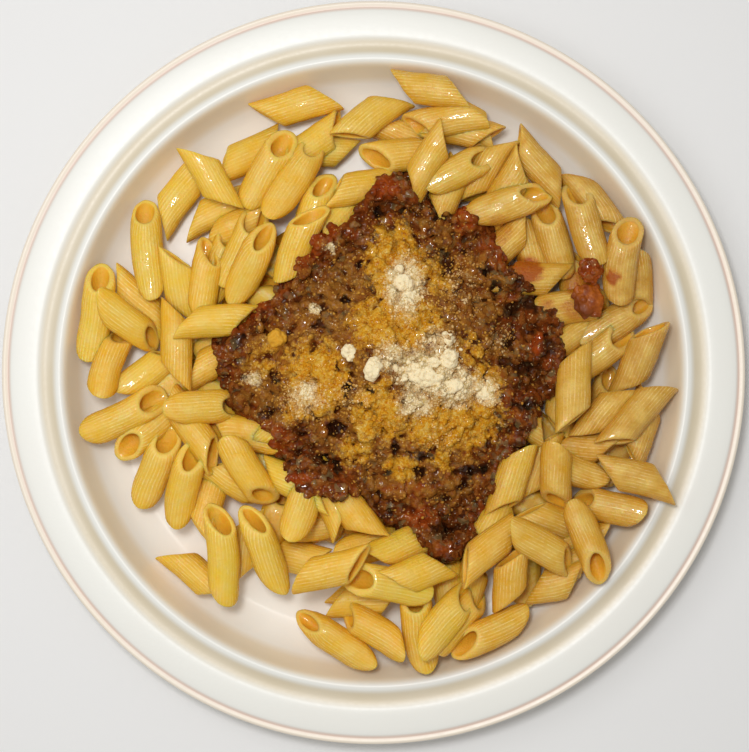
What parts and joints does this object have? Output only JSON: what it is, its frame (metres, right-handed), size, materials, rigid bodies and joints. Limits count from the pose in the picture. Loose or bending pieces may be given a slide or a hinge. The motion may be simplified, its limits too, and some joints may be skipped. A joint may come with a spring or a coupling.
{
  "type": "pasta with duck ragu",
  "caption": "Penne rigate heaped on a round white plate with a moulded rim, under a mound of dark duck ragu topped with grated cheese.",
  "frame": {"origin": "middle of the plate's flat foot, on the surface it stands on", "axes": "+Z up, the dish's shortest extent; +X right and +Y up as the dish is seen from straight above"},
  "size_m": [0.261, 0.261, 0.0435],
  "materials": {
    "plate": "smooth white, lightly glossy",
    "pasta": "soft, moist, ribbed",
    "ragu": "oily, coarse",
    "tomato": "wet, smooth",
    "cheese": "dull, crumbly"
  },
  "bodies": {
    "root": {"plate": "plate", "pasta_heap": "pasta", "ragu": "ragu", "mince_clump": "ragu", "tomato_piece": "tomato", "cheese_heap": "cheese", "cheese_pinch": "cheese", "cheese_nugget_left": "cheese", "cheese_nugget_right": "cheese", "cheese_chunk": "cheese"}
  },
  "joints": []
}
